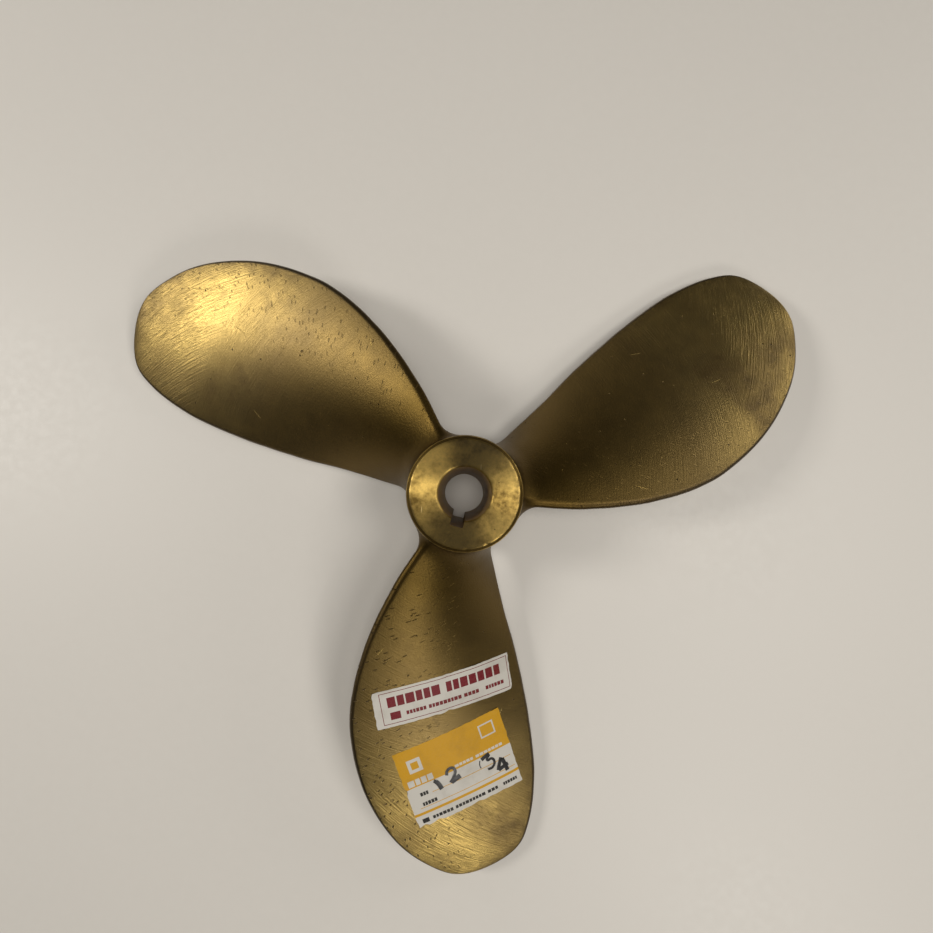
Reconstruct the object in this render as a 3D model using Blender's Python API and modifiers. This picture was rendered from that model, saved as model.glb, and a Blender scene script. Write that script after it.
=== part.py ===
"""Three-bladed left-hand boat propeller, 12 in across, bored for a 3/4 in tapered shaft.

Metres. +Z runs along the shaft axis towards the bow, so the large end of the bore
faces up. The origin is on the shaft axis at the height of the centre of mass, and
the keyway points towards -Y. The one-piece casting is split at its blade roots into
a hub and three blades, with two paper labels on the forward side of the third blade.
"""

import math
from collections import namedtuple

import bmesh
import bpy
from mathutils import Matrix, Vector
from mathutils.geometry import interpolate_bezier

MM = 0.001
INCH = 25.4 * MM
GAP = 0.3 * MM  # clearance kept between neighbouring solids

# The propeller as it is ordered
DIAMETER = 12 * INCH
PITCH = 8 * INCH  # advance in one turn, as a left-handed screw
BLADE_COUNT = 3
RAKE = math.radians(5)  # lean of the blades towards the stern

# Hub: a cast barrel with a turned face at each end
HUB_LENGTH = 2 * INCH
AFT_FACE = -22.9 * MM  # height of the aft face; the origin is at the centre of mass
FORWARD_FACE = AFT_FACE + HUB_LENGTH
HUB_RADIUS = 21.8 * MM  # at the widest, WIDEST_AT above the aft face
HUB_BULGE = 170 * MM  # radius of the barrel's side, seen in section
WIDEST_AT = 30 * MM
FORWARD_FACE_RADIUS = 18.8 * MM
AFT_FACE_RADIUS = 17.8 * MM
FORWARD_CHAMFER = 1.2 * MM  # depth of the bevel round the forward face
AFT_CHAMFER = 1.5 * MM

# Bore: 1 in 16 on diameter, with a key seat for a 3/16 in square key
BORE_RADIUS = 0.75 * INCH / 2
TAPER = 1 / 32  # change of radius along the axis
BORE_CHAMFER = 0.5 * MM
KEY_WIDTH = 3 / 16 * INCH
KEY_DEPTH = 3 / 32 * INCH
CUTTER_OVERRUN = 1 * MM  # how far the bore's cutter runs past each face
KEY_CUTTER_LENGTH = 1.2 * HUB_LENGTH  # long enough to clear both faces when tilted

# Blade outline: radius, then the arc round the shaft from the generator line
# forward to the leading edge and back to the trailing edge
OUTLINE_MM = (
    (22, 13, 12),
    (45, 22, 22),
    (70, 28, 33.5),
    (95, 28.5, 43),
    (118, 20, 49.5),
    (136, 6, 50.5),
    (147, -9.5, 45.5),
    (152.4, -26, 26),
)
GENERATOR_HEIGHT = 26 * MM  # where the generator line leaves the hub, above the aft face
KEYWAY_AHEAD = math.radians(4.6)  # the last blade's generator is this far past the keyway
ROOT_THICKNESS = 9 * MM
TIP_THICKNESS = 3 * MM
ROOT_EDGE = 3 * MM  # thickness of the rounded edges
TIP_EDGE = 2 * MM
EDGE_REACH = 0.6  # how far the edge rounding runs in, as a share of the edge thickness
TIP_START = 0.93  # share of the tip radius from which the sections are packed closer
ROOT_FLARE = 6 * MM  # fillet radius where a blade meets the hub
FLARE_LEAN = 0.65  # how much of the fillet is lost on the open side of the crossing
EDGE_FLARE = 0.4  # how much of the fillet also lengthens the chord, at each edge
ROOT_DEPTH = 3 * MM  # how far a blade is drawn into the hub before it is cut to the gap
FLARE_FADE = 12 * MM  # over this height the sections turn from the barrel's shape to a cylinder's

# Labels on the third blade: length, height, the radius of the centre, the angle from
# the generator line back to it, and the turn from square to that radius
LABEL_THICKNESS = 0.15 * MM
SETTLING_ROUNDS = 4  # a label point's height and place on the blade are settled in turn
STRIP_LABEL = (57.5 * MM, 15 * MM, 77 * MM, math.radians(4.3), math.radians(16))
SIZE_LABEL = (45.5 * MM, 33 * MM, 108 * MM, math.radians(9), math.radians(20))

# How finely the pieces are divided
TURN_STEPS = 96
BARREL_STEPS = 10
OUTLINE_STEPS = 24
LABEL_COLUMNS = 12
LABEL_ROWS = 6
EDGE_STEPS = 4
CHORD_STEPS = 12
FILLET_RINGS = 5
SPAN_RINGS = 14
TIP_RINGS = 8
MERGE_DISTANCE = 0.01 * MM
LEAST_CHORD = 0.001 * MM  # the section at the very tip, which has no length

LEAD = PITCH / (2 * math.pi)  # advance per radian


def new_collection(name):
    collection = bpy.data.collections.new(name)
    bpy.context.scene.collection.children.link(collection)
    return collection


def new_material(name, colour, roughness, metallic):
    material = bpy.data.materials.new(name)
    material.use_nodes = True
    shader = material.node_tree.nodes["Principled BSDF"]
    shader.inputs["Base Color"].default_value = (*colour, 1)
    shader.inputs["Roughness"].default_value = roughness
    shader.inputs["Metallic"].default_value = metallic
    return material


def new_object(name, bm, collection, material=None):
    mesh = bpy.data.meshes.new(name)
    bm.to_mesh(mesh)
    bm.free()
    obj = bpy.data.objects.new(name, mesh)
    collection.objects.link(obj)
    if material:
        mesh.materials.append(material)
        mesh.shade_smooth()
        mesh.set_sharp_from_angle(angle=math.radians(35))
    return obj


def hide_cutter(obj):
    obj.hide_render = True
    obj.display_type = "WIRE"


def turned(name, profile, collection, material=None):
    """A solid of revolution about Z from (radius, height) points, axis to axis, top first."""
    bm = bmesh.new()
    verts = [bm.verts.new((radius, 0, height)) for radius, height in profile]
    for upper, lower in zip(verts, verts[1:]):
        bm.edges.new((upper, lower))
    obj = new_object(name, bm, collection, material)
    screw = obj.modifiers.new("Turn", "SCREW")
    screw.steps = screw.render_steps = TURN_STEPS
    screw.use_merge_vertices = True
    screw.merge_threshold = MERGE_DISTANCE
    screw.use_smooth_shade = True
    return obj


def cut(obj, cutter):
    boolean = obj.modifiers.new("Cut " + cutter.name, "BOOLEAN")
    boolean.operation = "DIFFERENCE"
    boolean.object = cutter
    boolean.solver = "EXACT"


# Hub


def barrel_radius(height):
    """Radius of the hub's cast side at a height, which is an arc in section."""
    from_widest = height - AFT_FACE - WIDEST_AT
    return HUB_RADIUS - HUB_BULGE + math.sqrt(HUB_BULGE**2 - from_widest**2)


def hub_profile():
    """The hub's outer shape, a bevel at each end of the barrel, from the bow end down."""
    side_top = FORWARD_FACE - FORWARD_CHAMFER
    side_bottom = AFT_FACE + AFT_CHAMFER
    side = []
    for step in range(BARREL_STEPS + 1):
        height = side_top + (side_bottom - side_top) * step / BARREL_STEPS
        side.append((barrel_radius(height), height))
    forward_end = [(0, FORWARD_FACE), (FORWARD_FACE_RADIUS, FORWARD_FACE)]
    aft_end = [(AFT_FACE_RADIUS, AFT_FACE), (0, AFT_FACE)]
    return forward_end + side + aft_end


def bore_radius(height):
    return BORE_RADIUS - (FORWARD_FACE - height) * TAPER


def bore_profile():
    """The tapered bore with a chamfer at each mouth, run past both faces."""
    past = CUTTER_OVERRUN
    top, bottom = FORWARD_FACE, AFT_FACE
    return [
        (0, top + past),
        (bore_radius(top) + BORE_CHAMFER + past, top + past),
        (bore_radius(top - BORE_CHAMFER), top - BORE_CHAMFER),
        (bore_radius(bottom + BORE_CHAMFER), bottom + BORE_CHAMFER),
        (bore_radius(bottom) + BORE_CHAMFER + past, bottom - past),
        (0, bottom - past),
    ]


def key_cutter(collection):
    """A bar along the bore's side, tilted to run at one depth below the taper."""
    bm = bmesh.new()
    bmesh.ops.create_cube(bm, size=1)
    depth = BORE_RADIUS + KEY_DEPTH
    bmesh.ops.scale(bm, vec=(KEY_WIDTH, depth, KEY_CUTTER_LENGTH), verts=bm.verts)
    bmesh.ops.translate(bm, vec=(0, -depth / 2, 0), verts=bm.verts)
    tilt = Matrix.Rotation(math.atan(TAPER), 3, "X")
    bmesh.ops.rotate(bm, matrix=tilt, verts=bm.verts)
    bmesh.ops.translate(bm, vec=(0, TAPER * HUB_LENGTH / 2, 0), verts=bm.verts)
    middle = (FORWARD_FACE + AFT_FACE) / 2
    bmesh.ops.translate(bm, vec=(0, 0, middle), verts=bm.verts)
    return new_object("key_seat_cutter", bm, collection)


def make_hub(parts, cutters, material):
    hub = turned("hub", hub_profile(), parts, material)
    bore = turned("bore_cutter", bore_profile(), cutters)
    key_seat = key_cutter(cutters)
    for cutter in (bore, key_seat):
        hide_cutter(cutter)
        cut(hub, cutter)


# Blades


def smooth_outline():
    """The outline stations joined by one smooth curve, which rounds over at the tip."""
    stations = [Vector(row) * MM for row in OUTLINE_MM]
    before_tip = stations[-2]
    first = 2 * stations[0] - stations[1]
    past_tip = Vector((before_tip.x, -before_tip.z, -before_tip.y))
    knots = [first, *stations, past_tip]
    curve = []
    for a, b, c, d in zip(knots, knots[1:], knots[2:], knots[3:]):
        curve += interpolate_bezier(b, b + (c - a) / 6, c - (d - b) / 6, c, OUTLINE_STEPS)
    return curve


OUTLINE = smooth_outline()


def edges_at(radius):
    """Arcs from the generator line to the leading edge and to the trailing edge."""
    for inner, outer in zip(OUTLINE, OUTLINE[1:]):
        if radius <= outer.x:
            break
    share = (radius - inner.x) / max(outer.x - inner.x, LEAST_CHORD)
    here = inner.lerp(outer, min(share, 1))
    return here.y, here.z


def helix_angle(radius):
    return math.atan(LEAD / radius)


def rounding(distance, reach):
    """Rises from 0 at an edge to 1 at `reach` inside it, as a quarter of an ellipse."""
    if distance >= reach:
        return 1
    return math.sqrt(max(0, 1 - (1 - distance / reach) ** 2))


def root_flare(radius):
    """How far the fillet stands out from the blade at a radius."""
    height = max(radius - HUB_RADIUS, 0)
    if height >= ROOT_FLARE:
        return 0
    return ROOT_FLARE - math.sqrt(ROOT_FLARE**2 - (ROOT_FLARE - height) ** 2)


def blade_point(radius, along, rise):
    """A point at `along` the section from the generator line, `rise` above the pressure face."""
    helix = helix_angle(radius)
    arc = along * math.cos(helix) - rise * math.sin(helix)
    forward = along * math.sin(helix) + rise * math.cos(helix)
    generator = GENERATOR_HEIGHT - math.tan(RAKE) * (radius - HUB_RADIUS)
    height = AFT_FACE + generator + forward
    fade = max(0, 1 - max(0, radius - HUB_RADIUS) / FLARE_FADE)
    at = radius + fade * (barrel_radius(height) - HUB_RADIUS)
    turn = -arc / radius
    return Vector((at * math.cos(turn), at * math.sin(turn), height))


Section = namedtuple("Section", "lead chord edge reach crown flare fullness")


def section_at(radius):
    """The section's measures along the helix at a radius: where its leading edge lies,
    its chord, the thickness of its edges and how far they are rounded, the crown of its
    back, its fillet, and the share of its thickness that the rounding of the tip leaves."""
    lead, trail = edges_at(radius)
    slope = math.cos(helix_angle(radius))
    chord = max((lead + trail) / slope, LEAST_CHORD)
    share = (radius - HUB_RADIUS) / (DIAMETER / 2 - HUB_RADIUS)
    edge = ROOT_EDGE + (TIP_EDGE - ROOT_EDGE) * share
    thickness = ROOT_THICKNESS + (TIP_THICKNESS - ROOT_THICKNESS) * share
    fullness = rounding(DIAMETER / 2 - radius, EDGE_REACH * edge)
    reach = min(EDGE_REACH * edge, chord / 2)
    crown = fullness * (thickness - edge)
    return Section(lead / slope, chord, edge, reach, crown, root_flare(radius), fullness)


def surface_rise(section, from_lead, side):
    """Height above the pressure face of the back (side 1) or of the face (side -1)."""
    from_edge = min(from_lead, section.chord - from_lead)
    half = section.fullness * rounding(from_edge, section.reach)
    share = from_lead / section.chord
    if side > 0:
        fillet = (1 - FLARE_LEAN + FLARE_LEAN * share) * section.flare
        crown = section.crown * 4 * share * (1 - share)
        return section.edge / 2 + half * (section.edge / 2 + fillet) + crown
    fillet = (1 - FLARE_LEAN * share) * section.flare
    return section.edge / 2 - half * (section.edge / 2 + fillet)


def section_ring(radius):
    """Points round one section: over the back from the leading edge, home along the face."""
    section = section_at(radius)
    reach, chord = section.reach, section.chord
    near_edge = [
        reach * (1 - math.cos(math.pi / 2 * step / EDGE_STEPS)) for step in range(EDGE_STEPS)
    ]
    between = [
        reach + (chord - 2 * reach) * step / CHORD_STEPS for step in range(CHORD_STEPS + 1)
    ]
    over_back = near_edge + between + [chord - distance for distance in reversed(near_edge)]
    along_face = over_back[-2:0:-1]
    ring = []
    for side, distances in ((1, over_back), (-1, along_face)):
        for from_lead in distances:
            rise = surface_rise(section, from_lead, side)
            stretch = EDGE_FLARE * section.flare * (1 - 2 * from_lead / chord)
            ring.append(blade_point(radius, section.lead - from_lead + stretch, rise))
    return ring


def eased(start, end, steps):
    """Values from start up to but not at end, packed closer and closer towards end."""
    return [
        start + (end - start) * math.sin(math.pi / 2 * step / steps) for step in range(steps)
    ]


def ring_radii():
    """Section radii: close together down the fillet and round the tip, one inside the hub."""
    tip = DIAMETER / 2
    fillet_top, tip_start = HUB_RADIUS + ROOT_FLARE, TIP_START * tip
    fillet = eased(fillet_top, HUB_RADIUS, FILLET_RINGS)[:0:-1]
    span = tip_start - fillet_top
    middle = [fillet_top + span * step / SPAN_RINGS for step in range(SPAN_RINGS)]
    inside_hub = [HUB_RADIUS - ROOT_DEPTH, HUB_RADIUS]
    return inside_hub + fillet + middle + eased(tip_start, tip, TIP_RINGS)


def make_blade_mesh(name, collection, material):
    """A loft through the sections, closed by a cap inside the hub and a point at the tip."""
    bm = bmesh.new()
    rings = []
    for radius in ring_radii():
        rings.append([bm.verts.new(point) for point in section_ring(radius)])
    for inner, outer in zip(rings, rings[1:]):
        corners = zip(inner, inner[1:] + inner[:1], outer[1:] + outer[:1], outer)
        for corner in corners:
            bm.faces.new(corner)
    root, last = rings[0], rings[-1]
    bm.faces.new(root)
    tip = bm.verts.new(blade_point(DIAMETER / 2, section_at(DIAMETER / 2).lead, TIP_EDGE / 2))
    for here, following in zip(last, last[1:] + last[:1]):
        bm.faces.new((here, following, tip))
    bmesh.ops.recalc_face_normals(bm, faces=bm.faces)
    return new_object(name, bm, collection, material)


def blade_turn(index):
    """Rotation about the shaft of blade 0, 1 or 2; the last one is by the keyway."""
    last = math.radians(-90) + KEYWAY_AHEAD
    return last + 2 * math.pi * (index + 1 - BLADE_COUNT) / BLADE_COUNT


def make_blades(parts, cutters, material):
    profile = [
        (0, FORWARD_FACE + GAP),
        (barrel_radius(FORWARD_FACE) + GAP, FORWARD_FACE + GAP),
        *[
            (radius + GAP, height)
            for radius, height in hub_profile()
            if AFT_FACE < height < FORWARD_FACE
        ],
        (barrel_radius(AFT_FACE) + GAP, AFT_FACE - GAP),
        (0, AFT_FACE - GAP),
    ]
    hub_space = turned("hub_space_cutter", profile, cutters)
    hide_cutter(hub_space)
    first = make_blade_mesh("blade_1", parts, material)
    blades = [first]
    for index in range(1, BLADE_COUNT):
        blade = bpy.data.objects.new(f"blade_{index + 1}", first.data)
        parts.objects.link(blade)
        blades.append(blade)
    for index, blade in enumerate(blades):
        blade.rotation_euler.z = blade_turn(index)
        cut(blade, hub_space)
    return blades


# Labels


def point_on_back(radius, angle, lift):
    """The point `lift` above the back of an unturned blade, at a polar place round the shaft."""
    helix = helix_angle(radius)
    section = section_at(radius)
    arc = -angle * radius
    along = arc / math.cos(helix)
    for _ in range(SETTLING_ROUNDS):
        rise = surface_rise(section, section.lead - along, 1) + lift
        along = (arc + rise * math.sin(helix)) / math.cos(helix)
    return blade_point(radius, along, rise)


def make_label(name, sizes, blade, parts, material):
    """A thin patch laid square on the blade at its centre, following the back, GAP off it."""
    length, height, radius, angle, turn = sizes
    bm = bmesh.new()
    bmesh.ops.create_grid(bm, x_segments=LABEL_COLUMNS, y_segments=LABEL_ROWS, size=0.5)
    bmesh.ops.scale(bm, vec=(length, height, 1), verts=bm.verts)
    bmesh.ops.rotate(bm, matrix=Matrix.Rotation(turn, 3, "Z"), verts=bm.verts)
    flatten = math.cos(helix_angle(radius))
    for vert in bm.verts:
        outward, sideways = radius - vert.co.y, vert.co.x * flatten
        here = math.hypot(outward, sideways)
        vert.co = point_on_back(here, angle + math.atan2(sideways, outward), GAP)
    bmesh.ops.recalc_face_normals(bm, faces=bm.faces)
    label = new_object(name, bm, parts, material)
    label.rotation_euler.z = blade.rotation_euler.z
    wall = label.modifiers.new("Paper", "SOLIDIFY")
    wall.thickness = LABEL_THICKNESS
    wall.offset = 1
    return label


def main():
    for obj in list(bpy.data.objects):
        bpy.data.objects.remove(obj)
    parts = new_collection("boat_propeller")
    cutters = new_collection("cutters")
    bronze = new_material("cast_bronze", (0.45, 0.30, 0.09), 0.45, 1)
    turned_bronze = new_material("turned_bronze", (0.55, 0.37, 0.12), 0.35, 1)
    white_paper = new_material("white_paper", (0.8, 0.78, 0.74), 0.6, 0)
    yellow_paper = new_material("yellow_paper", (0.85, 0.55, 0.05), 0.6, 0)

    make_hub(parts, cutters, turned_bronze)
    blades = make_blades(parts, cutters, bronze)
    make_label("quality_label", STRIP_LABEL, blades[-1], parts, white_paper)
    make_label("size_label", SIZE_LABEL, blades[-1], parts, yellow_paper)


if __name__ == "__main__":
    main()
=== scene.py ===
"""Looks of a three-bladed bronze boat propeller, modelled round its CAD frame.

Metres, +Z along the shaft towards the bow. The hub and the three blades are one casting
on the real propeller: each is a piece here, and the fillets of the blades run into the
hub's side. Two paper labels lie on the forward side of the third blade.
"""

import math
import random
from collections import namedtuple
from functools import lru_cache

import bmesh
import bpy
from bpy.props import FloatProperty, FloatVectorProperty, PointerProperty
from bpy.types import Operator, Panel, PropertyGroup
from mathutils import Matrix, Vector, noise
from mathutils.geometry import interpolate_bezier


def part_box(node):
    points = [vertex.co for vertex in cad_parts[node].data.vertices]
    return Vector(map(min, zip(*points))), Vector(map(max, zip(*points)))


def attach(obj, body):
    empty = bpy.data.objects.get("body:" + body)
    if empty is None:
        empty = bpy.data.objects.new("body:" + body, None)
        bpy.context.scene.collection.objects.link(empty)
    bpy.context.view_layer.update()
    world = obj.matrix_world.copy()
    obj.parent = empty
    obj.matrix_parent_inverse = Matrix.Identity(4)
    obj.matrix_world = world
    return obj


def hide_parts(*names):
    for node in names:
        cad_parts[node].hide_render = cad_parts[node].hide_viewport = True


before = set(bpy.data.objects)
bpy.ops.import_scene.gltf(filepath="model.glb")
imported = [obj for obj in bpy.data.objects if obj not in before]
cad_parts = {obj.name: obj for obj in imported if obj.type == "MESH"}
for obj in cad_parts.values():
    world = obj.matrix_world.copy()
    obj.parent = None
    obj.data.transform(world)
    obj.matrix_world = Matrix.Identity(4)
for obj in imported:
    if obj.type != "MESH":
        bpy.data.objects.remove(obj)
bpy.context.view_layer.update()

bl_info = {
    "name": "Boat Propeller",
    "version": (1, 0, 0),
    "blender": (4, 5, 0),
    "location": "View3D > Sidebar > Propeller",
    "description": "Models a cast and ground bronze boat propeller with its paper labels",
    "category": "Add Mesh",
}

MM = 0.001
INCH = 25.4 * MM
HUB_LOW, HUB_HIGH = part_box("hub")
BLADE_NODES = ("blade_1", "blade_2", "blade_3")
LABELLED_BLADE = 2  # its place in the list; it is the one by the keyway
KEYWAY = math.radians(-90)  # the keyway points towards -Y
TIP_RADIUS = max(vert.co.xy.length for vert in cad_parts["blade_1"].data.vertices)

# Blade outline: radius, then the arc round the shaft from the generator line
# forward to the leading edge and back to the trailing edge
OUTLINE_MM = (
    (22, 13, 12),
    (45, 22, 22),
    (70, 28, 33.5),
    (95, 28.5, 43),
    (118, 20, 49.5),
    (136, 6, 50.5),
    (147, -9.5, 45.5),
    (152.4, -26, 26),
)

# How finely the pieces are divided
OUTLINE_STEPS = 24
CHORD_STEPS = 72
FILLET_RINGS = 14
SPAN_RINGS = 90
TIP_RINGS = 26
HUB_TURN_STEPS = 240
BARREL_STEPS = 24
PAPER_STEP = 1 * MM

WELD = 0.005 * MM  # points nearer than this are one point
SHARP = math.radians(38)  # edges that turn more than this are shaded as sharp


# Colours


def from_hex(text):
    """The linear colour of an sRGB hex value."""
    shares = [int(text[i : i + 2], 16) / 255 for i in (0, 2, 4)]
    return [s / 12.92 if s <= 0.04045 else ((s + 0.055) / 1.055) ** 2.4 for s in shares]


def length_setting(name, description, default):
    return FloatProperty(name=name, description=description, default=default, unit="LENGTH")


def angle_setting(name, description, degrees):
    return FloatProperty(
        name=name, description=description, default=math.radians(degrees), subtype="ANGLE"
    )


def colour_setting(name, description, text):
    return FloatVectorProperty(
        name=name, description=description, default=from_hex(text), subtype="COLOR", min=0, max=1
    )


# Settings


class HubSizes(PropertyGroup):
    bottom: length_setting("Aft face", "Height of the aft face", HUB_LOW.z)
    top: length_setting("Forward face", "Height of the forward face", HUB_HIGH.z)
    radius: length_setting("Radius", "Radius at the widest", HUB_HIGH.x)
    widest_at: length_setting("Widest at", "Where the hub is widest, above the aft face", 30 * MM)
    bulge: length_setting("Bulge", "Radius of the side, seen in section", 170 * MM)
    forward_face: length_setting("Forward face radius", "Flat turned ring", 19.3 * MM)
    aft_face: length_setting("Aft face radius", "Flat turned ring", 17.9 * MM)
    forward_chamfer: length_setting("Forward chamfer", "Depth of the bevel", 1.1 * MM)
    aft_chamfer: length_setting("Aft chamfer", "Depth of the bevel", 1.5 * MM)
    arris: length_setting("Arris", "Rounding worn onto the turned edges", 0.28 * MM)
    bore: length_setting("Bore", "Diameter at the forward face", 0.75 * INCH)
    taper: FloatProperty(name="Taper", description="Change of radius along it", default=1 / 32)
    bore_chamfer: length_setting("Bore chamfer", "Bevel at each mouth", 0.5 * MM)
    key_width: length_setting("Key seat width", "For a 3/16 in square key", 3 / 16 * INCH)
    key_depth: length_setting("Key seat depth", "Below the bore's side", 3 / 32 * INCH)
    nick: length_setting("Nicks", "Deepest dent in the face's edge", 0.22 * MM)


class BladeSizes(PropertyGroup):
    tip: length_setting("Tip radius", "Half the diameter", TIP_RADIUS)
    pitch: length_setting("Pitch", "Advance in one turn, left-handed", 8 * INCH)
    rake: angle_setting("Rake", "Lean towards the stern", 5)
    generator: length_setting("Generator", "Where it leaves the hub, above the aft face", 26 * MM)
    past_keyway: angle_setting("Past the keyway", "Turn of the last blade from it", 4.6)
    root_thickness: length_setting("Root thickness", "Middle of the section", 9 * MM)
    tip_thickness: length_setting("Tip thickness", "Middle of the section", 3 * MM)
    root_edge: length_setting("Root edge", "Thickness of the rounded edges", 3 * MM)
    tip_edge: length_setting("Tip edge", "Thickness of the rounded edges", 2 * MM)
    fillet: length_setting("Fillet", "Radius where a blade meets the hub", 6 * MM)
    waviness: length_setting("Waviness", "Hand-ground unevenness of the surface", 0.09 * MM)
    edge_wear: length_setting("Edge wear", "Unevenness of the outline", 0.14 * MM)


class StripLabelSizes(PropertyGroup):
    length: length_setting("Length", "Of the paper", 57.5 * MM)
    height: length_setting("Height", "Of the paper", 15 * MM)
    radius: length_setting("Radius", "Of its centre, from the shaft", 77 * MM)
    angle: angle_setting("Angle", "From the generator line back to its centre", 4.3)
    turn: angle_setting("Turn", "From square to the radius", 16)
    thickness: length_setting("Thickness", "Of the paper", 0.12 * MM)


class SizeLabelSizes(PropertyGroup):
    length: length_setting("Length", "Of the paper", 45.5 * MM)
    height: length_setting("Height", "Of the paper", 33 * MM)
    radius: length_setting("Radius", "Of its centre, from the shaft", 108 * MM)
    angle: angle_setting("Angle", "From the generator line back to its centre", 9)
    turn: angle_setting("Turn", "From square to the radius", 20)
    thickness: length_setting("Thickness", "Of the paper", 0.12 * MM)
    ink: length_setting("Ink", "How far the felt-pen ink stands up", 0.03 * MM)


class Colours(PropertyGroup):
    ground: colour_setting("Ground bronze", "Where the casting was ground bright", "C4A65B")
    tarnished: colour_setting("Tarnished bronze", "Brown film on the ground metal", "6A5426")
    # This brown is also laid along the blades' edges as painted shade
    patina: colour_setting("Patina", "Dark brown in hollows, pits and edges", "564421")
    turned: colour_setting("Turned bronze", "Fresh from the lathe", "D1B061")
    scratched: colour_setting("Scratched bronze", "Fresh metal in scratches", "F0D894")
    bore: colour_setting("Bore", "Oxidised bronze inside the bore", "B08C50")
    paper: colour_setting("Paper", "Label stock", "C3BFB7")
    amber: colour_setting("Amber", "Printed ground of the size label", "C18F06")
    red: colour_setting("Red", "Printed on the quality label", "6B0818")
    black: colour_setting("Black", "Printed and written on the size label", "16130F")
    pooled_ink: colour_setting("Pooled ink", "Where the pen's ink lies thick", "303038")
    floor: colour_setting("Floor", "Plain pale studio floor", "D4D0CA")


class PropellerSettings(PropertyGroup):
    hub: PointerProperty(type=HubSizes)
    blade: PointerProperty(type=BladeSizes)
    strip_label: PointerProperty(type=StripLabelSizes)
    size_label: PointerProperty(type=SizeLabelSizes)
    colours: PointerProperty(type=Colours)


def settings():
    return bpy.context.scene.propeller


# Materials


def add_node(tree, kind, feeds=None, **values):
    """A node with its own values set, and each of its inputs fed by a socket or a value."""
    node = tree.nodes.new(kind)
    for name, value in values.items():
        setattr(node, name, value)
    for name, feed in (feeds or {}).items():
        if isinstance(feed, bpy.types.NodeSocket):
            tree.links.new(feed, node.inputs[name])
        else:
            node.inputs[name].default_value = feed
    return node


def per_mm(spacing):
    """Texture scale at which a pattern on coordinates in metres repeats every `spacing` mm."""
    return 1 / (spacing * MM)


def new_material(name):
    """An empty material's node tree and its Principled shader."""
    material = bpy.data.materials.new(name)
    material.use_nodes = True
    tree = material.node_tree
    return material, tree, tree.nodes["Principled BSDF"]


def ranged(tree, value, low, high, start=0.0, end=1.0):
    """The value stretched so that low..high becomes start..end, and held outside it."""
    feeds = {0: value, 1: low, 2: high, 3: start, 4: end}
    return add_node(tree, "ShaderNodeMapRange", feeds).outputs[0]


def calculate(tree, operation, first, second=0.0):
    feeds = {0: first, 1: second}
    return add_node(tree, "ShaderNodeMath", feeds, operation=operation).outputs[0]


def between(tree, share, first, second):
    """A colour mixed between two."""
    feeds = {0: share, 6: first, 7: second}
    return add_node(tree, "ShaderNodeMix", feeds, data_type="RGBA").outputs[2]


def stretched(tree, coordinates, scale, turn=0.0):
    """Coordinates turned about Z, then multiplied along X and Y."""
    feeds = {"Vector": coordinates, "Rotation": (0, 0, turn)}
    turned = add_node(tree, "ShaderNodeMapping", feeds).outputs[0]
    feeds = {"Vector": turned, "Scale": (*scale, 1)}
    return add_node(tree, "ShaderNodeMapping", feeds).outputs[0]


def clouds(tree, coordinates, scale, detail=3.0, roughness=0.5):
    feeds = {"Vector": coordinates, "Scale": scale, "Detail": detail, "Roughness": roughness}
    return add_node(tree, "ShaderNodeTexNoise", feeds).outputs[0]


def raised(tree, height, distance, normal=None, strength=1.0):
    """A bump `distance` metres high at height 1, on top of another bump's normal."""
    feeds = {"Height": height, "Distance": distance, "Strength": strength}
    if normal:
        feeds["Normal"] = normal
    return add_node(tree, "ShaderNodeBump", feeds).outputs[0]


def specks(tree, coordinates, scale, radius, share, dimensions="3D"):
    """1 inside round specks of a radius in cells, in a share of the cells, fading to 0 outside."""
    feeds = {"Vector": coordinates, "Scale": scale}
    cells = add_node(tree, "ShaderNodeTexVoronoi", feeds, voronoi_dimensions=dimensions)
    inside = ranged(tree, cells.outputs["Distance"], radius, 0.5 * radius)
    picked = add_node(tree, "ShaderNodeSeparateColor", {0: cells.outputs["Color"]}).outputs[0]
    return calculate(tree, "MULTIPLY", inside, calculate(tree, "LESS_THAN", picked, share))


def radial_tangent(tree, coordinates):
    """The way out from the shaft: tool marks run round it, so the shine spreads along this."""
    feeds = {0: coordinates, 1: (1, 1, 0)}
    return add_node(tree, "ShaderNodeVectorMath", feeds, operation="MULTIPLY").outputs[0]


def attribute(tree, name):
    return add_node(tree, "ShaderNodeAttribute", attribute_name=name).outputs["Fac"]


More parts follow.
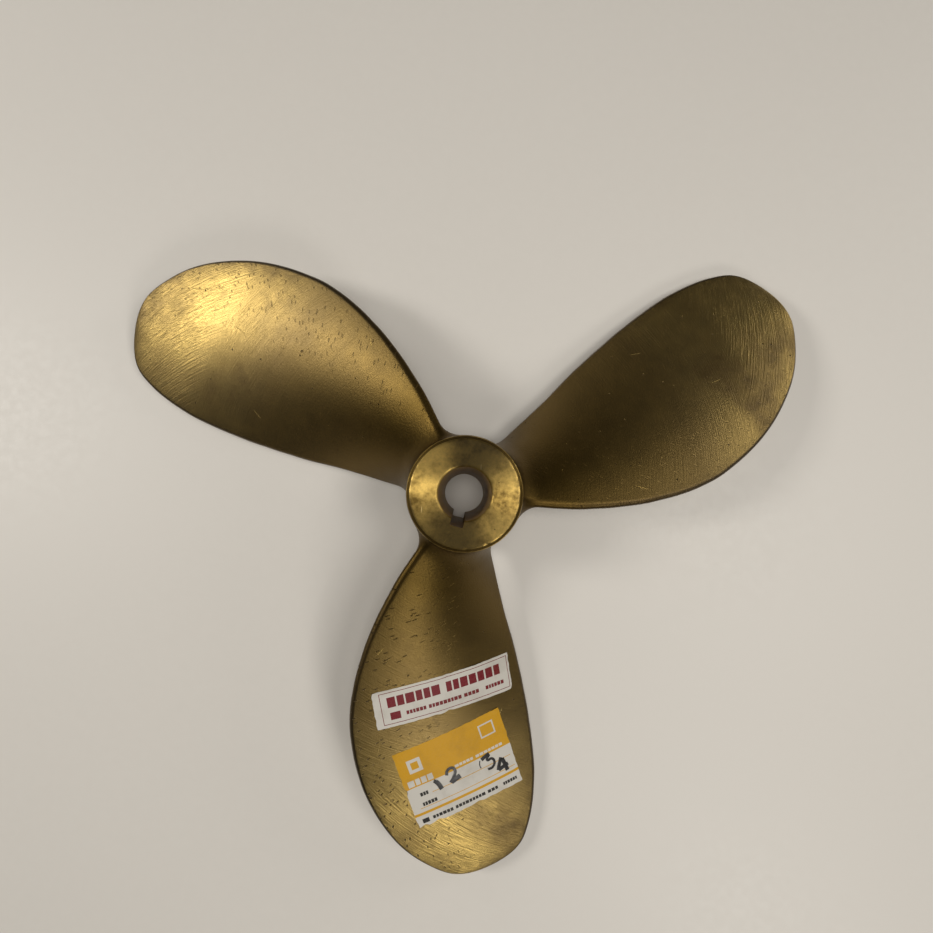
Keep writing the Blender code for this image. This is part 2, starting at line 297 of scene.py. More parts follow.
def cast_bronze():
    """Manganese bronze, sand cast and ground by hand: a satin yellow metal under a patchy
    brown film, with the grinder's marks across the blades and dark casting pits."""
    colours = settings().colours
    material, tree, shader = new_material("cast_manganese_bronze")
    place = add_node(tree, "ShaderNodeTexCoord").outputs["Object"]
    surface = add_node(tree, "ShaderNodeUVMap", uv_map="surface").outputs[0]
    ground, pitted = attribute(tree, "ground"), attribute(tree, "pitted")
    # Painted shade along the rounded edges of the blades, mixed with patina
    edge_shade_and_patina = attribute(tree, "edge_shade_and_patina")

    # Film: patches some 45 mm across, mottled at 7 mm
    patches = ranged(tree, clouds(tree, place, per_mm(45), 3), 0.42, 0.62)
    mottle = ranged(tree, clouds(tree, place, per_mm(7), 5, 0.6), 0.3, 0.7)
    film = calculate(tree, "MULTIPLY", patches, ranged(tree, mottle, 0, 1, 0.55, 1))
    film = calculate(tree, "MAXIMUM", film, ranged(tree, mottle, 0.55, 1, 0, 0.35))
    # Inside 90 mm from the shaft the film is at least 0.8 thick, thinning to the noise alone at 130 mm,
    # so the blades are darker towards the hub
    radius = add_node(tree, "ShaderNodeSeparateXYZ", {0: surface}).outputs["Y"]
    inner_film = ranged(tree, radius, 90 * MM, 130 * MM, 0.8, 0)
    film = calculate(tree, "MAXIMUM", film, inner_film)

    # Grinder's marks: strokes 0.45 mm apart across the blade, and further out 0.7 mm apart
    # and slanting; real ones are 0.2 mm apart
    along = stretched(tree, surface, (per_mm(14), per_mm(0.45)), math.radians(-8))
    slanting = stretched(tree, surface, (per_mm(12), per_mm(0.7)), math.radians(-52))
    near_tip = ranged(tree, radius, 112 * MM, 126 * MM)
    inner_marks = clouds(tree, along, 1, 3, 0.6)
    tip_marks = calculate(tree, "MULTIPLY", clouds(tree, slanting, 1, 3, 0.6), 1.6)
    feeds = {0: near_tip, 2: inner_marks, 3: tip_marks}
    marks = add_node(tree, "ShaderNodeMix", feeds).outputs[0]
    marks = calculate(tree, "MULTIPLY", marks, ground)

    # Pits: round ones 0.8 mm across, and dashes 0.4 by 2 mm left by the sand
    round_pits = specks(tree, place, per_mm(4), 0.1, 0.45)
    slanted = stretched(tree, surface, (per_mm(1.3), per_mm(6)), math.radians(-50))
    dashes = specks(tree, slanted, 1, 0.17, 0.4, "2D")
    dashes = calculate(tree, "MULTIPLY", dashes, pitted)
    pits = calculate(tree, "MAXIMUM", round_pits, dashes)

    # Scratches: bright lines 0.3 mm wide and 5 mm long
    scored = stretched(tree, surface, (per_mm(30), per_mm(1.5)), math.radians(68))
    scratches = specks(tree, scored, 1, 0.09, 0.05, "2D")

    # The skin left by the mould is darker than the ground metal; the edges are darkened by painted
    # shade, with spots of patina
    colour = between(tree, film, (*colours.ground, 1), (*colours.tarnished, 1))
    skin = ranged(tree, ground, 0.2, 0.75, 0.75, 0)
    colour = between(tree, skin, colour, (*colours.patina, 1))
    # Painted edge shade: solid at the very edge, broken into brown spots of patina further in; pits are
    # dark patina everywhere
    spots = ranged(tree, clouds(tree, place, per_mm(1.6), 4, 0.65), 0.35, 0.6)
    spots = calculate(tree, "MAXIMUM", spots, ranged(tree, edge_shade_and_patina, 0.5, 0.8))
    dark = calculate(tree, "MAXIMUM", calculate(tree, "MULTIPLY", edge_shade_and_patina, spots), pits)
    colour = between(tree, dark, colour, (*colours.patina, 1))
    colour = between(tree, scratches, colour, (*colours.ground, 1))
    dull = ranged(tree, film, 0, 1, 0.35, 0.47)
    dull = calculate(tree, "ADD", dull, calculate(tree, "MULTIPLY", pits, 0.3))
    dull = calculate(tree, "ADD", dull, ranged(tree, mottle, 0, 1, -0.03, 0.03))

    # As cast near the hub: a sandy surface with grains of 0.8 mm, ground away further out
    sandy = clouds(tree, place, per_mm(0.8), 3, 0.6)
    sandy = calculate(tree, "MULTIPLY", sandy, ranged(tree, ground, 0, 1, 1, 0.15))
    bump = raised(tree, sandy, 0.10 * MM)
    bump = raised(tree, marks, 0.13 * MM, bump)
    bump = raised(tree, pits, -0.30 * MM, bump)
    bump = raised(tree, scratches, -0.05 * MM, bump)

    tree.links.new(colour, shader.inputs["Base Color"])
    tree.links.new(dull, shader.inputs["Roughness"])
    tree.links.new(bump, shader.inputs["Normal"])
    tree.links.new(bump, shader.inputs["Coat Normal"])
    tree.links.new(radial_tangent(tree, place), shader.inputs["Tangent"])
    shader.inputs["Metallic"].default_value = 1
    shader.inputs["Anisotropic"].default_value = 0.3
    # A trace of preserving oil on the ground metal, which pales its highlights
    tree.links.new(ranged(tree, ground, 0.3, 0.9, 0, 0.8), shader.inputs["Coat Weight"])
    shader.inputs["Coat Roughness"].default_value = 0.4
    return material


def turned_bronze():
    """Bronze faced on a lathe: bright fine rings whose shine opens out in two fans, with
    a thin film, a few pits and scratches from handling."""
    colours = settings().colours
    material, tree, shader = new_material("lathe_turned_bronze")
    place = add_node(tree, "ShaderNodeTexCoord").outputs["Object"]
    flat = radial_tangent(tree, place)
    radius = add_node(tree, "ShaderNodeVectorMath", {0: flat}, operation="LENGTH").outputs[1]
    across = add_node(tree, "ShaderNodeCombineXYZ", {0: radius}).outputs[0]

    # Feed marks: rings 0.5 mm apart with finer ones between, real ones being 0.1 mm apart
    rings = clouds(tree, across, per_mm(0.5), 3, 0.6)
    mottle = clouds(tree, place, per_mm(1.4), 5, 0.7)
    film = ranged(tree, clouds(tree, place, per_mm(11), 4, 0.6), 0.42, 0.66)
    pits = specks(tree, place, per_mm(2.6), 0.09, 0.35)
    scored = stretched(tree, place, (per_mm(2.5), per_mm(20)), math.radians(-12))
    scratches = specks(tree, scored, 1, 0.07, 0.12, "2D")

    share = ranged(tree, film, 0, 1, 0.1, 0.85)
    share = calculate(tree, "ADD", share, ranged(tree, mottle, 0.38, 0.65, -0.1, 0.22))
    colour = between(tree, share, (*colours.turned, 1), (*colours.tarnished, 1))
    colour = between(tree, pits, colour, (*colours.patina, 1))
    colour = between(tree, scratches, colour, (*colours.scratched, 1))
    dull = ranged(tree, mottle, 0.3, 0.7, 0.35, 0.46)
    bump = raised(tree, rings, 0.02 * MM)
    bump = raised(tree, mottle, 0.03 * MM, bump)
    bump = raised(tree, pits, -0.2 * MM, bump)

    tree.links.new(colour, shader.inputs["Base Color"])
    tree.links.new(dull, shader.inputs["Roughness"])
    tree.links.new(bump, shader.inputs["Normal"])
    tree.links.new(flat, shader.inputs["Tangent"])
    shader.inputs["Metallic"].default_value = 1
    shader.inputs["Anisotropic"].default_value = 0.85
    shader.inputs["Coat Weight"].default_value = 0.3
    shader.inputs["Coat Roughness"].default_value = 0.4
    return material


def oxidised_bore():
    """Reamed bronze that has gone brown and dull where no hand rubs it."""
    colours = settings().colours
    material, tree, shader = new_material("oxidised_reamed_bronze")
    place = add_node(tree, "ShaderNodeTexCoord").outputs["Object"]
    # Brown film in patches 4 mm across
    film = clouds(tree, place, per_mm(4), 4, 0.6)
    colour = between(tree, film, (*colours.patina, 1), (*colours.bore, 1))
    tree.links.new(colour, shader.inputs["Base Color"])
    tree.links.new(ranged(tree, film, 0.3, 0.7, 0.5, 0.6), shader.inputs["Roughness"])
    # The film hides nearly all of the metal's own shine
    shader.inputs["Metallic"].default_value = 0.1
    return material


def printed_paper(name, colour):
    """Coated label paper with offset ink: smooth, a little rubbed and soiled by handling."""
    material, tree, shader = new_material(name)
    place = add_node(tree, "ShaderNodeTexCoord").outputs["Object"]
    # Soiling in smears of 9 mm, and paper fibres drawn at 0.7 mm, real ones being 0.1 mm
    smear = ranged(tree, clouds(tree, place, per_mm(9), 4, 0.6), 0.5, 0.75, 0, 0.22)
    fibres = clouds(tree, place, per_mm(0.7), 3, 0.7)
    rubbed = ranged(tree, fibres, 0.3, 0.7, 0.0, 0.05)
    colour = between(tree, smear, (*colour, 1), (*settings().colours.patina, 1))
    colour = between(tree, rubbed, colour, (*settings().colours.paper, 1))
    tree.links.new(colour, shader.inputs["Base Color"])
    tree.links.new(ranged(tree, fibres, 0.3, 0.7, 0.42, 0.55), shader.inputs["Roughness"])
    tree.links.new(raised(tree, fibres, 0.012 * MM), shader.inputs["Normal"])
    shader.inputs["Specular IOR Level"].default_value = 0.3
    return material


def felt_pen():
    """Alcohol felt-pen ink, laid on thick: nearly black with a faint sheen."""
    material, tree, shader = new_material("felt_pen_ink")
    place = add_node(tree, "ShaderNodeTexCoord").outputs["Object"]
    pooling = clouds(tree, place, per_mm(1.5), 2)
    colours = settings().colours
    pooled = ranged(tree, pooling, 0.4, 0.7, 0, 0.4)
    colour = between(tree, pooled, (*colours.black, 1), (*colours.pooled_ink, 1))
    tree.links.new(colour, shader.inputs["Base Color"])
    tree.links.new(ranged(tree, pooling, 0.3, 0.7, 0.3, 0.45), shader.inputs["Roughness"])
    return material


def pale_floor():
    """Smooth painted board, plain and pale."""
    material, tree, shader = new_material("painted_board")
    place = add_node(tree, "ShaderNodeTexCoord").outputs["Object"]
    # Roller stipple of 3 mm
    stipple = clouds(tree, place, per_mm(3), 2)
    pale = Vector(settings().colours.floor)
    colour = between(tree, stipple, (*(0.98 * pale), 1), (*pale, 1))
    tree.links.new(colour, shader.inputs["Base Color"])
    tree.links.new(ranged(tree, stipple, 0.3, 0.7, 0.42, 0.5), shader.inputs["Roughness"])
    return material


def the_material(name, make, *details):
    """The material of that name, made once."""
    return bpy.data.materials.get(name) or make(*details)


# Shared modelling steps


def finish_piece(name, mesh, slot, *nodes):
    """Shades a finished mesh and hands it over as the piece that stands for CAD nodes."""
    mesh.shade_smooth()
    mesh.set_sharp_from_angle(angle=SHARP)
    piece = bpy.data.objects.new(name, mesh)
    bpy.context.scene.collection.objects.link(piece)
    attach(piece, "root")
    if nodes:
        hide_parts(*nodes)
    return piece


def to_mesh(name, bm, *materials):
    mesh = bpy.data.meshes.new(name)
    bm.to_mesh(mesh)
    bm.free()
    for material in materials:
        mesh.materials.append(material)
    return mesh


def evaluated_mesh(obj):
    """The object's mesh with its modifiers applied; the object itself is removed."""
    graph = bpy.context.evaluated_depsgraph_get()
    mesh = bpy.data.meshes.new_from_object(obj.evaluated_get(graph))
    bpy.data.objects.remove(obj)
    return mesh


def new_object(name, data):
    obj = bpy.data.objects.new(name, data)
    bpy.context.scene.collection.objects.link(obj)
    return obj


# Hub

CAST, TURNED, BORE = range(3)  # the hub's material slots
KEEP_FLAT = 3  # a face stays flat this many arris widths from its edge
FACED = 0.95  # outside the bore, faces this nearly level are turned
FACED_IN_MOUTH = 0.3  # and in its mouth, faces this far from upright
NICK_SPACING = 2.2  # mm
NICK_SHARE = 0.15  # noise above this is a nick
NICK_REACH = 0.6  # how far down the chamfer the nicks run, as a share of it
ARRIS_STEPS = 3
CUTTER_OVERRUN = 1.2  # the key seat's cutter is this many hub lengths long


def barrel_radius(hub, height):
    """Radius of the hub's cast side at a height, which is an arc in section."""
    from_widest = height - hub.bottom - hub.widest_at
    return hub.radius - hub.bulge + math.sqrt(hub.bulge**2 - from_widest**2)


def bore_radius(hub, height):
    return hub.bore / 2 - (hub.top - height) * hub.taper


def hub_profile(hub):
    """Half the hub's section as a closed ring of (radius, height, is a worn arris)."""
    side_top = hub.top - hub.forward_chamfer
    side_bottom = hub.bottom + hub.aft_chamfer
    keep_flat = KEEP_FLAT * hub.arris
    top_mouth = bore_radius(hub, hub.top) + hub.bore_chamfer
    bottom_mouth = bore_radius(hub, hub.bottom) + hub.bore_chamfer
    bore_top, bore_bottom = hub.top - hub.bore_chamfer, hub.bottom + hub.bore_chamfer
    profile = [
        (top_mouth, hub.top, True),
        (top_mouth + keep_flat, hub.top, False),
        (hub.forward_face - keep_flat, hub.top, False),
        (hub.forward_face, hub.top, True),
    ]
    for step in range(BARREL_STEPS + 1):
        height = side_top + (side_bottom - side_top) * step / BARREL_STEPS
        profile.append((barrel_radius(hub, height), height, step in (0, BARREL_STEPS)))
    profile += [
        (hub.aft_face, hub.bottom, True),
        (hub.aft_face - keep_flat, hub.bottom, False),
        (bottom_mouth + keep_flat, hub.bottom, False),
        (bottom_mouth, hub.bottom, True),
        (bore_radius(hub, bore_bottom), bore_bottom, True),
        (bore_radius(hub, bore_bottom + keep_flat), bore_bottom + keep_flat, False),
        (bore_radius(hub, bore_top - keep_flat), bore_top - keep_flat, False),
        (bore_radius(hub, bore_top), bore_top, True),
    ]
    return profile


def nick_edge(bm, hub):
    """Dents the outer edge of the forward face in places, as handling does."""
    low = hub.top - NICK_REACH * hub.forward_chamfer
    for vert in bm.verts:
        radius = vert.co.xy.length
        if vert.co.z > low and radius > hub.forward_face - hub.arris:
            depth = max(0, noise.noise(vert.co * per_mm(NICK_SPACING)) - NICK_SHARE) * hub.nick
            vert.co.z -= depth
            vert.co.xy *= 1 - depth / radius


def hub_casting(hub):
    """The hub's mesh: turned from its profile, its arrises worn, its key seat cut."""
    bm = bmesh.new()
    profile = hub_profile(hub)
    ring = [bm.verts.new((radius, 0, height)) for radius, height, _ in profile]
    edges = [bm.edges.new(pair) for pair in zip(ring, ring[1:] + ring[:1])]
    axis = {"cent": (0, 0, 0), "axis": (0, 0, 1), "angle": 2 * math.pi}
    bmesh.ops.spin(bm, geom=ring + edges, steps=HUB_TURN_STEPS, use_merge=True, **axis)
    bmesh.ops.recalc_face_normals(bm, faces=bm.faces)
    for face in bm.faces:
        middle = face.calc_center_median()
        inside = middle.xy.length < hub.bore / 2 + hub.bore_chamfer
        if abs(face.normal.z) > (FACED_IN_MOUTH if inside else FACED):
            face.material_index = TURNED
        else:
            face.material_index = BORE if inside else CAST
    corners = [Vector((radius, height)) for radius, height, worn in profile if worn]
    worn_edges = []
    for edge in bm.edges:
        first, second = (Vector((vert.co.xy.length, vert.co.z)) for vert in edge.verts)
        if (first - second).length < WELD and any((first - c).length < WELD for c in corners):
            worn_edges.append(edge)
    bmesh.ops.bevel(
        bm,
        geom=worn_edges,
        offset=hub.arris,
        segments=ARRIS_STEPS,
        profile=0.5,
        affect="EDGES",
        material=TURNED,
    )
    nick_edge(bm, hub)
    casting = new_object("hub_blank", to_mesh("hub_casting", bm, *hub_materials()))
    cutter = key_seat_cutter(hub)
    boolean = casting.modifiers.new("Key seat", "BOOLEAN")
    boolean.operation = "DIFFERENCE"
    boolean.object = cutter
    boolean.solver = "EXACT"
    mesh = evaluated_mesh(casting)
    bpy.data.objects.remove(cutter)
    return mesh


def key_seat_cutter(hub):
    """A bar along the bore's side, tilted to run at one depth below the taper."""
    bm = bmesh.new()
    bmesh.ops.create_cube(bm, size=1)
    depth = hub.bore / 2 + hub.key_depth
    length = hub.top - hub.bottom
    bmesh.ops.scale(bm, vec=(hub.key_width, depth, CUTTER_OVERRUN * length), verts=bm.verts)
    bmesh.ops.translate(bm, vec=(0, -depth / 2, 0), verts=bm.verts)
    tilt = Matrix.Rotation(math.atan(hub.taper), 3, "X")
    bmesh.ops.rotate(bm, matrix=tilt, verts=bm.verts)
    middle = (hub.top + hub.bottom) / 2
    bmesh.ops.translate(bm, vec=(0, hub.taper * length / 2, middle), verts=bm.verts)
    for face in bm.faces:
        face.material_index = BORE
    return new_object("key_seat_cutter", to_mesh("key_seat_cutter", bm, *hub_materials()))


def hub_materials():
    return [
        the_material("cast_manganese_bronze", cast_bronze),
        the_material("lathe_turned_bronze", turned_bronze),
        the_material("oxidised_reamed_bronze", oxidised_bore),
    ]


# Blades

Section = namedtuple("Section", "lead chord edge reach crown flare fullness share")
BACK, FACE = 1, -1  # the blade's forward side, and the aft one that pushes
TIP_START = 0.93  # share of the tip radius from which the sections are packed closer
EDGE_REACH = 0.6  # how far the edge rounding runs in, as a share of the edge thickness
EDGE_FLARE = 0.4  # how much of the fillet also lengthens the chord, at each edge
FLARE_LEAN = 0.65  # how much of the fillet is lost on the open side of the crossing
FLARE_FADE = 12 * MM  # over this height the sections turn from the barrel's shape to a cylinder's
ROOT_DEPTH = 3 * MM  # how far a blade runs into the hub
LEAST_CHORD = WELD / 4  # the section at the very tip, which has no length
LEAST_STEP = WELD * MM  # keeps a step of no length from dividing by nothing

# Hand grinding: wide and narrow swells on the surface, and waves along the outline, in mm
WIDE_SWELL, NARROW_SWELL, OUTLINE_WAVE = 26, 9, 8
NARROW_SHARE = 0.4  # height of the narrow swells against the wide ones
APART = 40 * MM  # moves each blade's swells on, so that no two are alike

# Finish: painted shade and patina darken the edge, most at the very edge and fading further in,
# the surface is better ground further out, and the labelled blade's leading side is the most pitted
EDGE_LINE, EDGE_SHADE = 0.8 * MM, 5 * MM
EDGE_LINE_DEPTH, EDGE_SHADE_DEPTH = 2, 0.45
GROUND_AT_ROOT, GROUND_GAIN = 0.15, 1.3
PITTED_WIDTH = 0.6  # share of the chord
PITTED_LABELLED, PITTED_OTHERS, PITTED_FACE = 1, 0.25, 0.4


@lru_cache(maxsize=None)
def smooth_outline():
    """The outline stations joined by one smooth curve, which rounds over at the tip."""
    stations = [Vector(row) * MM for row in OUTLINE_MM]
    before_tip = stations[-2]
    first = 2 * stations[0] - stations[1]
    past_tip = Vector((before_tip.x, -before_tip.z, -before_tip.y))
    knots = [first, *stations, past_tip]
    curve = []
    for a, b, c, d in zip(knots, knots[1:], knots[2:], knots[3:]):
        curve += interpolate_bezier(b, b + (c - a) / 6, c - (d - b) / 6, c, OUTLINE_STEPS)
    return curve


def edges_at(radius):
    """Arcs from the generator line to the leading edge and to the trailing edge."""
    outline = smooth_outline()
    for inner, outer in zip(outline, outline[1:]):
        if radius <= outer.x:
            break
    share = (radius - inner.x) / max(outer.x - inner.x, LEAST_STEP)
    here = inner.lerp(outer, min(share, 1))
    return here.y, here.z


def helix_angle(blade, radius):
    return math.atan(blade.pitch / (2 * math.pi * radius))


def rounding(distance, reach):
    """Rises from 0 at an edge to 1 at `reach` inside it, as a quarter of an ellipse."""
    if distance >= reach:
        return 1
    return math.sqrt(max(0, 1 - (1 - distance / reach) ** 2))


def root_flare(blade, hub, radius):
    """How far the fillet stands out from the blade at a radius."""
    height = max(radius - hub.radius, 0)
    if height >= blade.fillet:
        return 0
    return blade.fillet - math.sqrt(blade.fillet**2 - (blade.fillet - height) ** 2)


def section_at(radius):
    """The section's measures along the helix at a radius: where its leading edge lies,
    its chord, the thickness of its edges and how far they are rounded, the crown of its
    back, its fillet, the share of its thickness that the rounding of the tip leaves, and
    how far out it is from the hub, from 0 to 1."""
    blade, hub = settings().blade, settings().hub
    lead, trail = edges_at(radius)
    slope = math.cos(helix_angle(blade, radius))
    chord = max((lead + trail) / slope, LEAST_CHORD)
    share = (radius - hub.radius) / (blade.tip - hub.radius)
    edge = blade.root_edge + (blade.tip_edge - blade.root_edge) * share
    thickness = blade.root_thickness + (blade.tip_thickness - blade.root_thickness) * share
    fullness = rounding(blade.tip - radius, EDGE_REACH * edge)
    reach = min(EDGE_REACH * edge, chord / 2)
    crown = fullness * (thickness - edge)
    flare = root_flare(blade, hub, radius)
    return Section(lead / slope, chord, edge, reach, crown, flare, fullness, share)


def surface_rise(section, from_lead, side):
    """Height of the back or the face above the flat of the face."""
    from_edge = min(from_lead, section.chord - from_lead)
    half = section.fullness * rounding(from_edge, section.reach)
    share = from_lead / section.chord
    if side == BACK:
        fillet = (1 - FLARE_LEAN + FLARE_LEAN * share) * section.flare
        crown = section.crown * 4 * share * (1 - share)
        return section.edge / 2 + half * (section.edge / 2 + fillet) + crown
    fillet = (1 - FLARE_LEAN * share) * section.flare
    return section.edge / 2 - half * (section.edge / 2 + fillet)


def blade_point(radius, along, rise):
    """A point at `along` the section from the generator line, `rise` above the face."""
    blade, hub = settings().blade, settings().hub
    helix = helix_angle(blade, radius)
    arc = along * math.cos(helix) - rise * math.sin(helix)
    forward = along * math.sin(helix) + rise * math.cos(helix)
    generator = blade.generator - math.tan(blade.rake) * (radius - hub.radius)
    height = hub.bottom + generator + forward
    fade = max(0, 1 - max(0, radius - hub.radius) / FLARE_FADE)
    at = radius + fade * (barrel_radius(hub, height) - hub.radius)
    turn = -arc / radius
    return Vector((at * math.cos(turn), at * math.sin(turn), height))


def unevenness(section, radius, from_lead, side, turn):
    """How far hand grinding leaves the surface off its true shape, none at the edges."""
    blade = settings().blade
    share = from_lead / section.chord
    away = 4 * share * (1 - share) * section.fullness
    place = Vector((from_lead, side * radius, turn * APART))
    swell = noise.noise(place * per_mm(WIDE_SWELL))
    swell += NARROW_SHARE * noise.noise(place * per_mm(NARROW_SWELL))
    return blade.waviness * away * swell


def eased(start, end, steps):
    """Values from start up to but not at end, packed closer and closer towards end."""
    return [
        start + (end - start) * math.sin(math.pi / 2 * step / steps) for step in range(steps)
    ]


def ring_radii(blade, hub):
    """Section radii: close together down the fillet and round the tip, one inside the hub."""
    fillet_top, tip_start = hub.radius + blade.fillet, TIP_START * blade.tip
    fillet = eased(fillet_top, hub.radius, FILLET_RINGS)[:0:-1]
    span = tip_start - fillet_top
    middle = [fillet_top + span * step / SPAN_RINGS for step in range(SPAN_RINGS)]
    inside_hub = [hub.radius - ROOT_DEPTH, hub.radius]
    round_tip = eased(tip_start, blade.tip, TIP_RINGS)
    return inside_hub + fillet + middle + round_tip + [blade.tip]


def blade_turn(index):
    """Rotation about the shaft of blade 0, 1 or 2."""
    last = KEYWAY + settings().blade.past_keyway
    return last + 2 * math.pi * (index - LABELLED_BLADE) / len(BLADE_NODES)


def finish_and_edge_shade(section, from_lead, side, index):
    """How much painted shade and patina darken the edge, how well the surface is ground, and how pitted
    it is, 0 to 1.
    """
    share = from_lead / section.chord
    from_edge = min(from_lead, section.chord - from_lead)
    # Painted shade on the rounded edge: strong within 0.8 mm of it, faint over 5 mm, and all over the
    # tip's rounding
    edge_shade_and_patina = max(0, EDGE_LINE_DEPTH - from_edge / EDGE_LINE)
    edge_shade_and_patina += EDGE_SHADE_DEPTH * max(0, 1 - from_edge / EDGE_SHADE)
    edge_shade_and_patina = max(edge_shade_and_patina, 1 - section.fullness)
    ground = min(1, GROUND_AT_ROOT + GROUND_GAIN * section.share)
    pitted = PITTED_FACE
    if side == BACK:
        labelled = index == LABELLED_BLADE
        pitted = PITTED_LABELLED if labelled else PITTED_OTHERS
        pitted *= max(0, 1 - share / PITTED_WIDTH)
    return min(edge_shade_and_patina, 1), ground, pitted


def blade_casting(index):
    """One blade: a grid wrapped round its sections, closed at the tip and inside the hub."""
    blade, hub = settings().blade, settings().hub
    radii = ring_radii(blade, hub)
    sections = [section_at(radius) for radius in radii]
    turn = blade_turn(index)
    about_shaft = Matrix.Rotation(turn, 3, "Z")
    columns, rows = 2 * CHORD_STEPS, len(radii) - 1

    bm = bmesh.new()
    surface = bm.loops.layers.uv.new("surface")
    # Per point: painted edge shade with patina, how well ground, and how pitted
    layers = [bm.verts.layers.float.new(name) for name in ("edge_shade_and_patina", "ground", "pitted")]
    bmesh.ops.create_grid(bm, x_segments=columns, y_segments=rows, size=0.5)
    for face in bm.faces:
        side = BACK if face.calc_center_median().x < 0 else FACE
        for loop in face.loops:
            radius, section, from_lead = on_grid(loop.vert, columns, rows, radii, sections)
            loop[surface].uv = (side * from_lead, radius)
    for vert in bm.verts:
        side = BACK if vert.co.x < 0 else FACE
        radius, section, from_lead = on_grid(vert, columns, rows, radii, sections)
        for layer, value in zip(layers, finish_and_edge_shade(section, from_lead, side, index)):
            vert[layer] = value
        rise = surface_rise(section, from_lead, side)
        rise += unevenness(section, radius, from_lead, side, turn)
        from_middle = 1 - 2 * from_lead / section.chord
        place = Vector((radius, from_middle * INCH, turn * MM))
        wear = noise.noise(place * per_mm(OUTLINE_WAVE))
        stretch = EDGE_FLARE * section.flare + blade.edge_wear * wear * section.fullness
        along = section.lead - from_lead + stretch * from_middle
        vert.co = about_shaft @ blade_point(radius, along, rise)
    bmesh.ops.remove_doubles(bm, verts=bm.verts, dist=WELD)
    bmesh.ops.holes_fill(bm, edges=[edge for edge in bm.edges if edge.is_boundary])
    bmesh.ops.recalc_face_normals(bm, faces=bm.faces)
    bronze = the_material("cast_manganese_bronze", cast_bronze)
    return to_mesh(f"blade_{index + 1}_casting", bm, bronze)


def on_grid(vert, columns, rows, radii, sections):
    """Radius, section and distance from the leading edge of a grid point, before wrapping.
    Points lie closest at the two edges, where the surface turns over."""
    column, row = round((vert.co.x + 0.5) * columns), round((vert.co.y + 0.5) * rows)
    section = sections[row]
    from_lead = section.chord * (1 - math.cos(2 * math.pi * column / columns)) / 2
    return radii[row], section, from_lead


# Labels

PAPER, AMBER, RED, BLACK = range(4)  # the labels' material slots
SETTLING_ROUNDS = 4  # a label point's height and place on the blade are settled in turn
BOND = 0.06 * MM  # how far the paper stands off the metal
WRINKLE, WRINKLE_SPACING = 0.05 * MM, 7  # height, and distance apart in mm
WORN, WORN_SPACING = 0.3, 2  # mm that the outline has lost at most, and how far apart
WORN_REACH = 2 * MM  # how far inside the outline the paper is drawn in
CLEAR = 0.2 * PAPER_STEP  # least distance between two cuts


def point_on_back(radius, angle, lift, turn):
    """The point `lift` above a turned blade's back, at a polar place from its generator."""
    helix = helix_angle(settings().blade, radius)
    section = section_at(radius)
    arc = -angle * radius
    along = arc / math.cos(helix)
    for _ in range(SETTLING_ROUNDS):  # the rise shifts the point round the shaft
        from_lead = section.lead - along
        rise = surface_rise(section, from_lead, BACK) + lift
        rise += unevenness(section, radius, from_lead, BACK, turn)
        along = (arc + rise * math.sin(helix)) / math.cos(helix)
    return Matrix.Rotation(turn, 3, "Z") @ blade_point(radius, along, rise)


def point_on_label(label, x, y, lift):
    """The point above the third blade's back under a place on the paper, which is x from
    its left edge and y from its top."""
    place = Vector((x - label.length / 2, label.height / 2 - y))
    place.rotate(Matrix.Rotation(label.turn, 2))
    outward = label.radius - place.y
    sideways = place.x * math.cos(helix_angle(settings().blade, label.radius))
    radius = math.hypot(outward, sideways)
    angle = label.angle + math.atan2(sideways, outward)
    return point_on_back(radius, angle, lift, blade_turn(LABELLED_BLADE))


def paper_lift(x, y, curls):
    """How far the paper stands off the metal: a wrinkled bond, and lifted spots."""
    lift = BOND + WRINKLE * noise.noise(Vector((x, y, 0)) * per_mm(WRINKLE_SPACING))
    for middle_x, middle_y, reach, height in curls:
        distance = math.hypot(x - middle_x * MM, y - middle_y * MM) / (reach * MM)
        lift += height * MM * math.exp(-2 * distance**2)
    return lift


def worn_outline(label, x, y, tears):
    """A place on the paper, drawn in where the label's edge is rubbed or torn away."""
    from_edge = min(x, label.length - x, y, label.height - y)
    lost = WORN * (0.5 + noise.noise(Vector((x, y, 0)) * per_mm(WORN_SPACING)))
    for middle_x, middle_y, reach, depth in tears:
        distance = math.hypot(x - middle_x * MM, y - middle_y * MM) / (reach * MM)
        lost += depth * math.exp(-2 * distance**2)
    inward = Vector((label.length / 2 - x, label.height / 2 - y)).normalized()
    return Vector((x, y)) + inward * lost * MM * max(0, 1 - from_edge / WORN_REACH)


def cut_along(bm, places, axis):
    """Cuts a flat sheet straight across at each place along an axis."""
    across = Vector((1, 0, 0)) if axis == 0 else Vector((0, 1, 0))
    for place in places:
        geometry = bm.verts[:] + bm.edges[:] + bm.faces[:]
        bmesh.ops.bisect_plane(bm, geom=geometry, plane_co=across * place, plane_no=across)


def cut_places(length, edges):
    """Even cuts along a length, and one at each print edge, none nearly on another."""
    count = round(length / PAPER_STEP)
    kept = sorted({round(edge, 6) for edge in edges if 0 < edge < length})
    even = [length * step / count for step in range(1, count)]
    return kept + [place for place in even if all(abs(place - edge) > CLEAR for edge in kept)]


